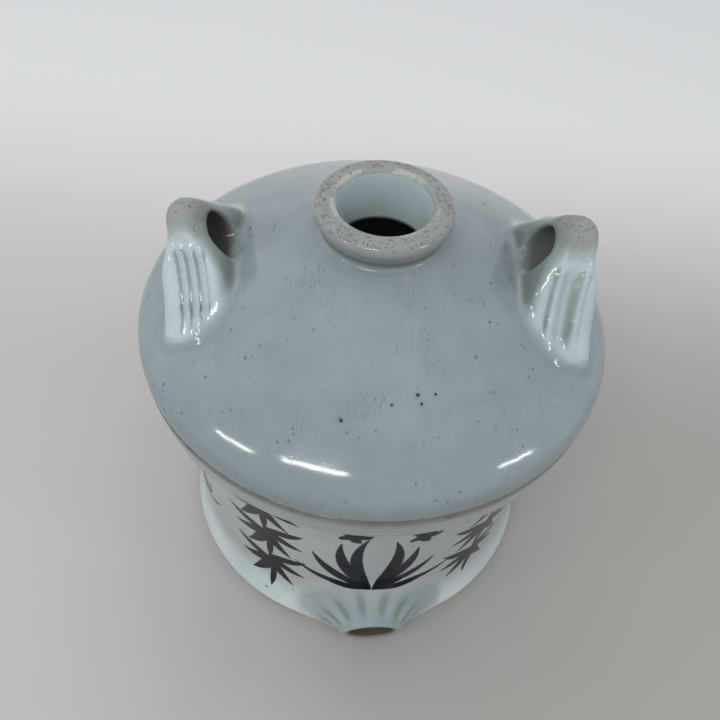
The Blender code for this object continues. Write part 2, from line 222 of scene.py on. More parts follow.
def facing(points, azimuth):
    """Distances outwards, sideways and up for a feature that faces an azimuth."""
    c, s = math.cos(azimuth), math.sin(azimuth)
    return points[:, 0] * c + points[:, 1] * s, points[:, 1] * c - points[:, 0] * s, points[:, 2]


def ramp(value, low, high):
    """Go smoothly from 0 at low to 1 at high."""
    t = np.clip((value - low) / (high - low), 0, 1)
    return t * t * (3 - 2 * t)


def gradient(field, points):
    steps = np.eye(3) * SLOPE_STEP
    rises = [field(points + step) - field(points - step) for step in steps]
    return np.column_stack(rises) / (2 * SLOPE_STEP)


def unit(vectors):
    return vectors / np.maximum(np.linalg.norm(vectors, axis=1), 1e-12)[:, None]


def settle(field, points, rounds=3):
    """Move points along the field's slope until they lie on its surface."""
    for _ in range(rounds):
        slope = gradient(field, points)
        steep = np.maximum((slope ** 2).sum(1), 0.1)
        points = points - (np.clip(field(points), -FINE_CELL, FINE_CELL) / steep)[:, None] * slope
    return points


def relax(points, quads):
    """Move each point halfway to the middle of its neighbours."""
    first = quads.ravel()
    second = np.roll(quads, -1, axis=1).ravel()
    ends = np.concatenate([first, second])
    others = np.concatenate([second, first])
    count = np.bincount(ends, minlength=len(points))
    sums = [np.bincount(ends, weights=points[others, k], minlength=len(points)) for k in range(3)]
    return (points + np.column_stack(sums) / count[:, None]) / 2


def cells_around(numbers, inside, axis):
    """The four cells round each grid edge along an axis that the surface crosses."""
    side, up = (axis + 1) % 3, (axis + 2) % 3
    step = np.diff(inside.astype(int), axis=axis)
    edges = np.argwhere(step)
    fits = (edges[:, side] > 0) & (edges[:, up] > 0)
    fits &= (edges[:, side] < numbers.shape[side]) & (edges[:, up] < numbers.shape[up])
    edges = edges[fits]
    around = []
    for shift_side, shift_up in ((0, 0), (1, 0), (1, 1), (0, 1)):
        cell = edges.copy()
        cell[:, side] -= shift_side
        cell[:, up] -= shift_up
        around.append(numbers[tuple(cell.T)])
    quads = np.column_stack(around)
    entering = step[tuple(edges.T)] > 0
    quads[entering] = quads[entering][:, ::-1]
    return quads


def skin_of(field, low, high):
    """Points and quads on the surface of a field inside a box."""
    axes = [np.arange(a, b + FINE_CELL, FINE_CELL) for a, b in zip(low, high)]
    grid = np.stack(np.meshgrid(*axes, indexing="ij"), -1)
    inside = (field(grid.reshape(-1, 3)) < 0).reshape(grid.shape[:3])
    corners = inside.astype(int)
    for axis in range(3):
        size = corners.shape[axis] - 1
        corners = corners.take(range(size), axis) + corners.take(range(1, size + 1), axis)
    crossed = (corners > 0) & (corners < 8)
    numbers = np.full(crossed.shape, -1)
    numbers[crossed] = np.arange(crossed.sum())
    points = grid[:-1, :-1, :-1][crossed] + FINE_CELL / 2
    quads = np.vstack([cells_around(numbers, inside, axis) for axis in range(3)])
    points = settle(field, points)
    for _ in range(3):
        points = settle(field, relax(points, quads), 2)
    return points, quads


def keep_quads(points, quads, wanted):
    """Leave out quads with no wanted point, and the points that nothing uses."""
    quads = quads[wanted[quads].any(axis=1)]
    used = np.unique(quads)
    renumber = np.full(len(points), -1)
    renumber[used] = np.arange(len(used))
    return points[used], renumber[quads]


# Outlines
def arc(centre, radius, start, end, steps):
    """Points on a circular arc in the profile plane, angles in degrees from +X."""
    angles = np.radians(np.linspace(start, end, steps + 1))
    return [(centre[0] + radius * math.cos(a), centre[1] + radius * math.sin(a)) for a in angles]


def bend(first, control, last, steps):
    t = np.linspace(0, 1, steps + 1)[:, None]
    first, control, last = map(np.array, (first, control, last))
    return [tuple(p) for p in (1 - t) ** 2 * first + 2 * t * (1 - t) * control + t ** 2 * last]


def flank_outline():
    """Outer side of the shoulder from the neck to the roll's tip."""
    roll = (EDGE_RADIUS - ROLL_ROUND, EDGE_LEVEL)
    rolled = arc(roll, ROLL_ROUND, ROLL_END, 0, 14)
    end = math.radians(ROLL_END)
    ease = (rolled[0][0] - EASE_ROUND * math.cos(end), rolled[0][1] - EASE_ROUND * math.sin(end))
    eased = arc(ease, EASE_ROUND, EASE_END, ROLL_END, 8)
    neck = (NECK_RADIUS, NECK_LEVEL)
    edge = eased[0]
    steep, easy = math.tan(math.radians(90 - EASE_END)), math.tan(NECK_SLOPE)
    middle = (neck[1] - edge[1] + easy * neck[0] - steep * edge[0]) / (easy - steep)
    return bend(neck, (middle, neck[1] - easy * (middle - neck[0])), edge, 40)[:-1] + eased[:-1] + rolled


def flank_level(radius):
    """Height of the shoulder's outer side at a distance from the axis."""
    flank = np.array(flank_outline())
    return float(np.interp(radius, flank[:, 0], flank[:, 1]))


def collar_outline():
    """From the bottom of the mouth's bore over the rim to the cove at the neck."""
    lip = (MOUTH_RADIUS + MOUTH_ROUND, RIM_LEVEL - MOUTH_ROUND)
    rim = (COLLAR_RADIUS - RIM_ROUND, RIM_LEVEL - RIM_ROUND)
    reach = COLLAR_WAIST + COVE_ROUND
    flank = NECK_LEVEL - math.tan(NECK_SLOPE) * (reach - NECK_RADIUS)
    cove = (reach, flank + COVE_ROUND / math.cos(NECK_SLOPE))
    rolled = arc(rim, RIM_ROUND, 90, -25, 14)
    halfway = ((rolled[-1][0] + COLLAR_WAIST) / 2, (rolled[-1][1] + cove[1]) / 2)
    waist = bend(rolled[-1], halfway, (COLLAR_WAIST, cove[1]), 8)
    return (
        [(MOUTH_RADIUS, z) for z in np.linspace(TENON_END, lip[1], 14)[:-1]]
        + arc(lip, MOUTH_ROUND, 180, 90, 8)
        + rolled[:-1]
        + waist[:-1]
        + arc(cove, COVE_ROUND, 180, 270 - math.degrees(NECK_SLOPE), 8)
    )


def past_cove(step, sink):
    """A point beyond the cove's end along the slope, hidden under the other skin."""
    end = collar_outline()[-1]
    return end[0] + step, end[1] - math.tan(NECK_SLOPE) * step - sink


def shoulder_outline():
    """From the collar's cove over the shoulder and its rolled edge to the lip below."""
    flank = [p for p in flank_outline() if p[0] > NECK_RADIUS + COVE_ROUND / 2]
    lip = (EDGE_RADIUS - LIP_ROUND, EDGE_LEVEL)
    start = [past_cove(-COVE_LAP, 0), past_cove(0, 0)]
    return start + flank + arc(lip, LIP_ROUND, 0, -90, 8)[1:]


def lining_outline():
    """From the lip's seat inwards under the shoulder to the collar."""
    flank = np.array(flank_outline())
    along = np.gradient(flank, axis=0)
    along /= np.linalg.norm(along, axis=1)[:, None]
    inner = flank + SHELL * np.column_stack([along[:, 1], -along[:, 0]])
    seat = WALL_TOP_RADIUS - SEAT_WIDTH
    inner = [tuple(p) for p in inner[::-3] if TENON_RADIUS < p[0] < seat]
    return [(seat, LIP_LEVEL)] + inner + [(TENON_RADIUS, inner[-1][1])]


def wall_outline():
    top = (WALL_TOP_RADIUS, LIP_LEVEL)
    waist = (WAIST_RADIUS, WAIST_LEVEL)
    foot = (FOOT_RADIUS, FOOT_LEVEL + HEEL_RISE)
    upper = (WAIST_RADIUS, (top[1] + waist[1]) / 2)
    lower = (WAIST_RADIUS, (foot[1] + waist[1]) / 2)
    heel = arc((FOOT_RADIUS - HEEL_ROUND, foot[1]), HEEL_ROUND, 0, -80, 5)
    return bend(top, upper, waist, 150)[:-1] + bend(waist, lower, foot, 34)[:-1] + heel


def wall_solid():
    outer = wall_outline()
    return outer + [(r - SHELL, z) for r, z in reversed(outer)]


def band_outline():
    """The band under the shoulder, from its cove at the lip down to its lower edge."""
    top = (WALL_TOP_RADIUS, LIP_LEVEL + BAND_LAP)
    nose = (WALL_TOP_RADIUS + BAND_NOSE_REACH, LIP_LEVEL - BAND_NOSE_DROP)
    skirt = (WALL_TOP_RADIUS + BAND_SKIRT_REACH, LIP_LEVEL - BAND_SKIRT_DROP)
    rolled = arc(nose, BAND_NOSE_ROUND, 90, -20, 12)
    turn = (nose[0] + BAND_TURN_REACH, nose[1] - BAND_TURN_DROP)
    bow = (skirt[0] + BAND_BOW, nose[1] - BAND_BOW_DROP)
    heel = arc((skirt[0] - BAND_HEEL_ROUND, skirt[1]), BAND_HEEL_ROUND, 0, -100, 6)
    tuck = (WALL_TOP_RADIUS - BAND_TUCK, skirt[1] - BAND_TUCK_DROP)
    return [top] + rolled + bend(turn, bow, skirt, 10)[1:-1] + heel + [tuck]


# Fields of the jar's forms
SHOULDER_SOLID = [(0, RIM_LEVEL)] + shoulder_outline() + [(0, LIP_LEVEL)]
WALL_SOLID = wall_solid()


def shoulder_field(points):
    return turned_field(points, SHOULDER_SOLID)


def wall_field(points):
    return turned_field(points, WALL_SOLID)


def ear_toe(ear):
    """Height of an ear's toes, a little above the shoulder."""
    return flank_level(math.hypot(ear["foot_radius"], EAR_HALF_LENGTH)) + EAR_TOE_THICKNESS


def ear_crest(ear):
    """Closed side view of an ear: round crown, hollowed legs and rounded toes."""
    toe = ear_toe(ear)
    centre = ear["crown"] - EAR_CROWN_ROUND
    reach = math.hypot(EAR_HALF_LENGTH, toe - centre)
    leave = math.atan2(toe - centre, EAR_HALF_LENGTH) + math.acos(EAR_CROWN_ROUND / reach)
    crown = arc((0, centre), EAR_CROWN_ROUND, math.degrees(leave), 90, 14)
    heel = arc((EAR_HALF_LENGTH - EAR_TOE_ROUND, toe - EAR_TOE_ROUND), EAR_TOE_ROUND, -20, 50, 6)
    bulge = EAR_LEG_BULGE * np.array([math.cos(leave), math.sin(leave)])
    middle = (np.array(heel[-1]) + crown[0]) / 2 + bulge
    half = heel + bend(heel[-1], middle, crown[0], 8)[1:-1] + crown
    under = [(-EAR_HALF_LENGTH, LIP_LEVEL), (EAR_HALF_LENGTH, LIP_LEVEL)]
    return half + [(-x, z) for x, z in reversed(half)] + under


def ear_shares(points, ear):
    """Places on an ear: along, up, share of a leg, past a side, flute wave and crown's drop."""
    out, along, up = facing(points, ear["azimuth"])
    toe = ear_toe(ear)
    rise = np.clip((up - toe) / (ear["crown"] - toe), 0, 1)
    share = np.clip(np.abs(along) / EAR_HALF_LENGTH, 0, 1)
    middle = ear["foot_radius"] + ear["lean"] * rise ** 2
    half = (EAR_CROWN_WIDTH + (ear["foot_width"] - EAR_CROWN_WIDTH) * share ** 2) / 2
    across = out - middle
    inner = half + EAR_INNER_SPREAD * (1 - rise) ** 2
    flank = np.where(across < 0, -across - inner, across - half)
    fluted = ear["fluted_share"]
    flute = ramp(np.abs(across), half * (fluted + EAR_FLUTE_FADE), half * fluted)
    flute = flute * np.cos(2 * math.pi * across / ear["rib_pitch"])
    drop = np.where(across < 0, ear["drop_in"], ear["drop_out"]) * np.minimum(across / half, 1) ** 2
    return along, up, share, flank, flute, drop * ramp(share, 0.5, 0.1)


def tunnel_field(points, ear):
    _, along, up = facing(points, ear["azimuth"])
    return np.hypot(along, up - (ear["crown"] - EAR_CROWN_ROUND)) - EAR_TUNNEL_RADIUS


def ear_field(points, ear):
    """Strap ear with ribs and knuckles on its legs, beaded toes and a rope tunnel."""
    along, up, share, flank, flute, drop = ear_shares(points, ear)
    length = np.abs(along)
    legs = ramp(length, ear["knuckle"] - EAR_RIB_FADE, ear["knuckle"] + EAR_RIB_FADE)
    legs = legs * ramp(length, EAR_HALF_LENGTH - 0.001, EAR_HALF_LENGTH - 0.011)
    side = outline_field(length, up, ear_crest(ear)) + drop
    side = side + ear["rib_depth"] * legs * (EAR_RIB_LIFT + flute)
    beads = np.zeros(len(points))
    for level in (ear["knuckle"] + 0.001, EAR_HALF_LENGTH - 0.013, EAR_HALF_LENGTH - 0.004):
        beads = beads + np.exp(-((length - level) / EAR_BEAD_REACH) ** 2)
    side = side - EAR_BEAD_HEIGHT * beads * ramp(flute, 0.3, -1.0)
    edge = EAR_CROWN_EDGE + (EAR_LEG_EDGE - EAR_CROWN_EDGE) * ramp(share, 0.15, 0.55)
    return smooth_cut(round_overlap(side, flank, edge), tunnel_field(points, ear), EAR_TUNNEL_EDGE)


def shoulder_with_ears(points):
    field = shoulder_field(points)
    for ear in (LEFT_EAR, RIGHT_EAR):
        field = smooth_union(field, ear_field(points, ear), EAR_FILLET)
    return field


def boss_outline():
    """Side view of the boss from its root to its rounded lip, as reach and radius."""
    neck = SPIGOT_TIP - SPIGOT_NOSE
    flank = [(SPIGOT_ROOT + (neck - SPIGOT_ROOT) * t,
              SPIGOT_LIP + (SPIGOT_FLARE - SPIGOT_LIP) * (1 - t) ** SPIGOT_FLARE_POWER)
             for t in np.linspace(0, 1, 12)]
    nose = arc((neck, SPIGOT_LIP - SPIGOT_NOSE), SPIGOT_NOSE, 90, 0, 6)
    behind = SPIGOT_ROOT - SHELL
    return [(behind, 0), (behind, SPIGOT_FLARE)] + flank[:-1] + nose + [(SPIGOT_TIP, 0)]


def from_tap_hole(points):
    """Distances outwards, sideways and above the tap hole, and the share of the boss's reach."""
    out, side, up = facing(points, SPIGOT_AZIMUTH)
    share = np.clip((out - SPIGOT_ROOT) / (SPIGOT_TIP - SPIGOT_ROOT), 0, 1)
    return out, side, up - SPIGOT_LEVEL, share


def petal_wave(points):
    """The petals as a wave from -1 to 1 that fades at the boss's root and at its lip."""
    _, side, rise, share = from_tap_hole(points)
    return np.cos(SPIGOT_PETALS * np.arctan2(rise, side)) * ramp(share, 0.25, 0.6) * ramp(share, 1.0, 0.7)


def boss_field(points):
    """Broad spigot boss that faces down a little, with petals that fade towards its lip."""
    out, side, rise, share = from_tap_hole(points)
    radius = np.hypot(side, rise) - SPIGOT_PETAL_DEPTH * petal_wave(points)
    solid = outline_field(out - math.tan(SPIGOT_TILT) * share * rise, radius, boss_outline())
    return smooth_overlap(solid, SPIGOT_CLEARANCE - points[:, 2], 0.002)


def bore_field(points):
    _, side, rise, share = from_tap_hole(points)
    return np.hypot(side, rise) - SPIGOT_BORE - (SPIGOT_MOUTH - SPIGOT_BORE) * share


def wall_with_boss(points, sink=0.0):
    joined = smooth_union(wall_field(points) + sink, boss_field(points), BOSS_FILLET)
    return smooth_cut(joined, bore_field(points), SPIGOT_CUT_EDGE)


# Meshes
def piece_from(name, points, quads, normals=None):
    mesh = bpy.data.meshes.new(name)
    mesh.from_pydata(points.tolist(), [], quads.tolist())
    mesh.shade_smooth()
    if normals is not None:
        mesh.normals_split_custom_set_from_vertices(normals.tolist())
    piece = bpy.data.objects.new(name, mesh)
    bpy.context.scene.collection.objects.link(piece)
    return piece


def paint(piece, name, values):
    """Store one value per point for the finish to read."""
    layer = piece.data.attributes.new(name, "FLOAT", "POINT")
    layer.data.foreach_set("value", np.asarray(values, np.float32))


def place_of(piece):
    points = np.empty(len(piece.data.vertices) * 3)
    piece.data.vertices.foreach_get("co", points)
    return points.reshape(-1, 3)


def turned_skin(outline, angles):
    """Points and quads of a closed outline turned about the axis, through the given angles."""
    outline = np.array(outline)
    radius = np.broadcast_to(outline[:, :1], (len(outline), len(angles)))
    points = np.stack([radius * np.cos(angles), radius * np.sin(angles),
                       np.broadcast_to(outline[:, 1:], radius.shape)], -1)
    number = np.arange(radius.size).reshape(radius.shape)
    around = np.roll(number, -1, axis=1)
    quads = np.stack([number, np.roll(number, -1, axis=0), np.roll(around, -1, axis=0), around], -1)
    return points.reshape(-1, 3), quads.reshape(-1, 4)


def even_angles(count):
    return np.linspace(-math.pi, math.pi, count, endpoint=False)


def blended_normals(points, quads, field, near):
    """Normals of the mesh, and of the joined forms where those are near."""
    a, b, c, d = (points[quads[:, k]] for k in range(4))
    face = np.cross(c - a, d - b)
    corners = quads.ravel()
    sums = [np.bincount(corners, weights=np.repeat(face[:, k], 4), minlength=len(points)) for k in range(3)]
    normals = np.column_stack(sums)
    normals[near] = gradient(field, points[near])
    return unit(normals)


def make_ear(name, ear):
    """An ear with the fillet that joins it to the shoulder, sunk a little at its edge."""
    def own(points):
        return ear_field(points, ear)

    def sunk(points):
        return smooth_union(shoulder_field(points) + SINK, own(points), EAR_FILLET)

    reach = ear["foot_radius"]
    c, s = math.cos(ear["azimuth"]), math.sin(ear["azimuth"])
    half_x, half_y = EAR_SKIN_HALF
    low = (c * reach - half_x, s * reach - half_y, EAR_SKIN_FLOOR)
    high = (c * reach + half_x, s * reach + half_y, ear["crown"] + EAR_SKIN_ABOVE)
    points, quads = skin_of(sunk, low, high)
    points, quads = keep_quads(points, quads, (own(points) < EAR_FILLET) & (points[:, 2] > EAR_SKIN_END))
    normals = unit(gradient(shoulder_with_ears, points))
    piece = piece_from(name, points, quads, normals)
    along, up, _, flank, flute, _ = ear_shares(points, ear)
    legs = ramp(np.abs(along), ear["knuckle"] - 0.004, ear["knuckle"] + 0.004)
    joint = ramp(np.abs(own(points) - shoulder_field(points)), EAR_JOINT_REACH, 0)
    groove = legs * ramp(flute, 0.1, 1.0) * ramp(own(points), 0.002, -0.0002)
    paint(piece, "pooled", np.maximum(0.6 * joint, 0.14 * groove))
    paint(piece, "crown", ramp(up, ear["crown"] - 0.018, ear["crown"] + 0.001))
    inward = -(normals[:, 0] * c + normals[:, 1] * s)
    hole = ramp(tunnel_field(points, ear), 0.003, 0.0)
    # Painted shade: the inside of the rope tunnel is darkened, less on the right ear
    paint(piece, "tunnel", ear["tunnel_shade"] * hole * ramp(-flank, 0.002, 0.009))
    # Painted shade: faces turned towards the jar's axis, and the tunnel's mouth, are marked to be darkened
    paint(piece, "inner_side_shade", np.maximum(hole, ramp(inward, 0.05, 0.85)))
    paint(piece, "skirt", ramp(own(points), -0.0006, 0.0034))
    return piece


def make_collar():
    outer = collar_outline()
    closing = [past_cove(COVE_LAP, SINK / 2), (TENON_RADIUS, NECK_LEVEL - 0.002), (TENON_RADIUS, TENON_END)]
    points, quads = turned_skin(outer + closing, even_angles(192))
    return piece_from("mouth_collar_glazed", points, quads)


def make_shoulder():
    outline = shoulder_outline() + lining_outline()
    points, quads = turned_skin(outline, even_angles(384))
    ears = np.minimum(ear_field(points, LEFT_EAR), ear_field(points, RIGHT_EAR))
    near = (ears < 2 * EAR_FILLET) & (shoulder_field(points) > -SHELL / 4)
    normals = blended_normals(points, quads, shoulder_with_ears, near)
    piece = piece_from("shoulder_glazed", points, quads, normals)
    paint(piece, "pooled", ramp(EAR_FILLET - ears, 0, EAR_FILLET))
    return piece


def make_band():
    points, quads = turned_skin(band_outline(), even_angles(256))
    return piece_from("shoulder_band_glazed", points, quads)


def make_wall():
    fine = np.radians(np.arange(BRUSHED_FROM, BRUSHED_TO, FINE_TURN))
    coarse = np.radians(np.arange(BRUSHED_TO, BRUSHED_FROM + 360, COARSE_TURN))
    points, quads = turned_skin(WALL_SOLID, np.concatenate([fine, coarse]))
    bore = bore_field(points)
    hidden = (bore < SPIGOT_CUT_EDGE) & (points[:, 1] < 0)
    quads = quads[~hidden[quads].all(axis=1)]
    near = (boss_field(points) < BOSS_FILLET + SHELL / 2) & ~hidden
    return piece_from("jar_wall_glazed", points, quads, blended_normals(points, quads, wall_with_boss, near))


def make_boss():
    def sunk(points):
        return wall_with_boss(points, SINK)

    middle = Vector((math.cos(SPIGOT_AZIMUTH), math.sin(SPIGOT_AZIMUTH))) * BOSS_SKIN_REACH
    low = (middle.x - BOSS_SKIN_SIDE, middle.y - BOSS_SKIN_FRONT, 0.0)
    high = (middle.x + BOSS_SKIN_SIDE, middle.y + BOSS_SKIN_BACK, BOSS_SKIN_TOP)
    points, quads = skin_of(sunk, low, high)
    wanted = (np.minimum(boss_field(points), bore_field(points)) < BOSS_FILLET) & (points[:, 2] > 0.0002)
    points, quads = keep_quads(points, quads, wanted)
    piece = piece_from("spigot_boss_glazed", points, quads, unit(gradient(wall_with_boss, points)))
    paint(piece, "bore", ramp(bore_field(points), 0.0012, 0))
    paint(piece, "lip", ramp(bore_field(points), 0.0045, 0.0015))
    paint(piece, "pooled", ramp(petal_wave(points), 0.0, -0.9))
    return piece


# Finishes
class Finish:
    """A material or node group under construction."""

    def __init__(self, tree):
        self.tree = tree

    def node(self, kind, **settings):
        node = self.tree.nodes.new(kind)
        for key, value in settings.items():
            if key in node.bl_rna.properties:
                setattr(node, key, value)
            else:
                self.feed(node, key.replace("_", " "), value)
        return node

    def feed(self, node, socket, value):
        target = node.inputs[socket]
        if isinstance(value, bpy.types.NodeSocket):
            self.tree.links.new(value, target)
        else:
            target.default_value = value

    def math(self, operation, *values):
        node = self.tree.nodes.new("ShaderNodeMath")
        node.operation = operation
        for i, value in enumerate(values):
            self.feed(node, i, value)
        return node.outputs[0]

    def times(self, a, b):
        return self.math("MULTIPLY", a, b)

    def line(self, value, slope, start):
        """Start plus a slope times a value."""
        return self.math("MULTIPLY_ADD", value, slope, start)

    def blend(self, share, a, b):
        node = self.tree.nodes.new("ShaderNodeMix")
        node.data_type = "RGBA"
        self.feed(node, "Factor", share)
        for name, value in (("A", a), ("B", b)):
            socket = next(s for s in node.inputs if s.name == name and s.type == "RGBA")
            if isinstance(value, bpy.types.NodeSocket):
                self.tree.links.new(value, socket)
            else:
                socket.default_value = value
        return next(s for s in node.outputs if s.type == "RGBA")

    def tint(self, base, mask, share, screen):
        """Lay a share of a screen colour over a base where a mask is."""
        return self.blend(self.times(mask, share), base, colour(*screen))

    def span(self, value, low, high, start=0.0, end=1.0):
        """Map a value smoothly from low..high to start..end."""
        node = self.tree.nodes.new("ShaderNodeMapRange")
        node.interpolation_type = "SMOOTHSTEP"
        for name, number in (("Value", value), ("From Min", low), ("From Max", high),
                             ("To Min", start), ("To Max", end)):
            self.feed(node, name, number)
        return node.outputs["Result"]

    def noise(self, place, scale, detail=3.0, rough=0.5, output="Fac"):
        node = self.tree.nodes.new("ShaderNodeTexNoise")
        for name, value in (("Vector", place), ("Scale", scale), ("Detail", detail), ("Roughness", rough)):
            self.feed(node, name, value)
        return node.outputs[output]

    def place(self):
        return self.tree.nodes.new("ShaderNodeTexCoord").outputs["Object"]

    def parts(self, place):
        return tuple(self.node("ShaderNodeSeparateXYZ", Vector=place).outputs)

    def painted(self, name):
        node = self.tree.nodes.new("ShaderNodeAttribute")
        node.attribute_name = name
        return node.outputs["Fac"]


def colour(r, g, b):
    """Linear colour from the 0 to 255 values that a screen shows."""
    return tuple(((v / 255 + 0.055) / 1.055) ** 2.4 if v > 10 else v / 3294 for v in (r, g, b)) + (1.0,)


def group(name, inputs, outputs):
    """An empty node group with named number inputs and outputs, and its Finish."""
    tree = bpy.data.node_groups.new(name, "ShaderNodeTree")
    for label, start in inputs.items():
        kind = "NodeSocketVector" if start is None else "NodeSocketFloat"
        socket = tree.interface.new_socket(label, in_out="INPUT", socket_type=kind)
        if start is not None:
            socket.default_value = start
    for label in outputs:
        tree.interface.new_socket(label, in_out="OUTPUT", socket_type="NodeSocketFloat")
    return tree, tree.nodes.new("NodeGroupInput").outputs, tree.nodes.new("NodeGroupOutput"), Finish(tree)


def make_specks_group():
    """Iron specks: small dark dots of uneven size, only in some cells."""
    tree, given, result, f = group("iron_specks", {"Place": None, "Scale": 90.0, "Amount": 0.15}, ["Mask"])
    wander = f.noise(given["Place"], 160.0, 2.0, 0.6, "Color")
    nudge = f.node("ShaderNodeVectorMath", operation="MULTIPLY_ADD")
    f.feed(nudge, 0, wander)
    f.feed(nudge, 1, (0.0035, 0.0035, 0.0035))
    f.feed(nudge, 2, given["Place"])
    cells = f.node("ShaderNodeTexVoronoi", Vector=nudge.outputs[0], Scale=given["Scale"])
    parts = f.node("ShaderNodeSeparateColor", Color=cells.outputs["Color"])
    chosen = f.math("LESS_THAN", parts.outputs["Red"], given["Amount"])
    size = f.span(parts.outputs["Green"], 0.0, 1.0, 0.04, 0.22)
    spot = f.span(f.math("DIVIDE", cells.outputs["Distance"], size), 0.55, 1.0, 1.0, 0.0)
    f.feed(result, "Mask", f.times(spot, chosen))
    return tree


def make_scratches_group():
    """Fine scratches: thin broken lines in three directions."""
    tree, given, result, f = group("fine_scratches", {"Place": None, "Amount": 0.5}, ["Mask"])
    lines = 0.0
    for turn, scale in ((0.5, 34.0), (2.1, 27.0), (1.2, 45.0)):
        turned = f.node("ShaderNodeMapping", Vector=given["Place"])
        f.feed(turned, "Rotation", (0.25, 0.15, turn))
        f.feed(turned, "Scale", (1.0, 0.10, 0.4))
        bands = f.noise(turned.outputs[0], scale * 8, 1.0, 0.4)
        line = f.span(f.math("ABSOLUTE", f.math("SUBTRACT", bands, 0.5)), 0.0, 0.012, 1.0, 0.0)
        broken = f.span(f.noise(given["Place"], scale * 1.3, 2.0, 0.5), 0.59, 0.68)
        lines = f.math("MAXIMUM", lines, f.times(line, broken))
    f.feed(result, "Mask", f.times(lines, given["Amount"]))
    return tree


def make_grime_group():
    """Grime: blotches with a fine grain, stronger where the wear is."""
    tree, given, result, f = group("ground_in_grime", {"Place": None, "Wear": 0.5, "Grain": 420.0}, ["Mask"])
    blotch = f.noise(given["Place"], 70.0, 5.0, 0.65)
    grain = f.noise(given["Place"], given["Grain"], 4.0, 0.75)
    mixed = f.line(blotch, 0.55, f.times(grain, 0.45))
    level = f.line(given["Wear"], -0.36, 0.80)
    f.feed(result, "Mask", f.span(mixed, level, f.math("ADD", level, 0.16)))
    return tree


GROUPS = {
    "specks": make_specks_group(),
    "scratches": make_scratches_group(),
    "grime": make_grime_group(),
}


def effect(f, name, **values):
    node = f.tree.nodes.new("ShaderNodeGroup")
    node.node_tree = GROUPS[name]
    for key, value in values.items():
        f.feed(node, key, value)
    return node.outputs["Mask"]


def new_finish(name):
    material = bpy.data.materials.new(name)
    material.use_nodes = True
    return material, Finish(material.node_tree), material.node_tree.nodes["Principled BSDF"]


def glaze_tone(f, place, pale, deep):
    """Cloudy tone of a thick glaze between a pale and a deep screen colour."""
    cloud = f.noise(place, 9.0, 3.0, 0.55)
    fleck = f.noise(place, 55.0, 4.0, 0.6)
    share = f.line(cloud, 0.7, f.times(fleck, 0.3))
    return f.blend(f.span(share, 0.36, 0.64), colour(*pale), colour(*deep))


def bump_with(f, shader, height, strength, depth):
    bump = f.node("ShaderNodeBump", Strength=strength, Distance=depth, Height=height)
    f.feed(shader, "Normal", bump.outputs["Normal"])


def glaze_bump(f, shader, place, marks=0.0, depth=0.0):
    """Faint ripple and pinholes of a fired glaze, and marks sunk into it."""
    ripple = f.noise(place, 38.0, 2.0, 0.5)
    fine = f.noise(place, 210.0, 2.0, 0.5)
    height = f.math("SUBTRACT", f.line(fine, 0.10, ripple), f.times(marks, depth))
    bump_with(f, shader, height, 0.35, 0.0006)


SPOTS = [
    ((-0.0110, -0.1092), 0.0011),
    ((0.0144, -0.0996), 0.0008),
    ((0.0275, -0.0930), 0.0012),
    ((0.0300, -0.0968), 0.0009),
    ((0.0369, -0.0908), 0.0008),
    ((0.0644, -0.0455), 0.0007),
    ((-0.0549, 0.0341), 0.0008),
]


def near_spots(f, place, swell):
    """Mask of the single round marks on the shoulder, swollen by a factor."""
    mask = 0.0
    for (x, y), radius in SPOTS:
        gap = f.node("ShaderNodeVectorMath", operation="DISTANCE")
        f.feed(gap, 0, place)
        f.feed(gap, 1, (x, y, flank_level(math.hypot(x, y))))
        size = radius * swell
        mask = f.math("MAXIMUM", mask, f.span(gap.outputs["Value"], size * 0.6, size * 1.2, 1.0, 0.0))
    return mask


def finish_with(f, shader, base, rough, sheen=GLAZE_SHEEN):
    f.feed(shader, "Base Color", base)
    f.feed(shader, "Roughness", rough)
    shader.inputs["IOR"].default_value = 1.5
    shader.inputs["Specular IOR Level"].default_value = sheen


def shoulder_tone(f, place):
    return glaze_tone(f, place, (139, 149, 152), (128, 138, 141))


def worn_speckle(f, place, worn, base):
    """Fine dark grains that sit where a glaze is rubbed matt."""
    grain = f.span(f.noise(place, 620.0, 2.0, 0.6), 0.56, 0.62)
    return f.tint(base, f.times(grain, worn), 0.60, (74, 66, 62))


def make_shoulder_glaze():
    material, f, shader = new_finish("shoulder_glaze_finish")
    place = f.place()
    base = f.tint(shoulder_tone(f, place), f.painted("pooled"), 0.15, (116, 129, 127))
    scratch = effect(f, "scratches", Place=place, Amount=0.75)
    base = f.blend(scratch, base, colour(92, 96, 92))
    few = effect(f, "specks", Place=place, Scale=75.0, Amount=0.05)
    crowd = f.span(f.noise(place, 14.0, 2.0, 0.6), 0.42, 0.66, 0.02, 0.30)
    many = effect(f, "specks", Place=place, Scale=210.0, Amount=crowd)
    patch = f.span(f.noise(place, 9.0, 2.0, 0.6), 0.42, 0.60, 0.02, 0.60)
    ash = effect(f, "specks", Place=place, Scale=170.0, Amount=patch)
    base = f.tint(base, ash, 0.60, (84, 88, 76))
    base = f.tint(base, near_spots(f, place, 2.3), 0.25, (112, 114, 106))
    dark = f.times(f.math("MAXIMUM", few, f.times(many, 0.5)), 0.75)
    base = f.blend(f.math("MAXIMUM", dark, near_spots(f, place, 1.0)), base, colour(52, 46, 40))
    low = f.span(f.parts(place)[2], EDGE_LEVEL - 0.001, LIP_LEVEL - 0.0004)
    film = effect(f, "grime", Place=place, Wear=f.line(low, 0.9, 0.18), Grain=380.0)
    base = f.tint(base, film, 0.55, (98, 92, 80))
    finish_with(f, shader, base, f.line(f.math("MAXIMUM", film, scratch), 0.30, 0.10))
    glaze_bump(f, shader, place, scratch, 0.2)
    return material


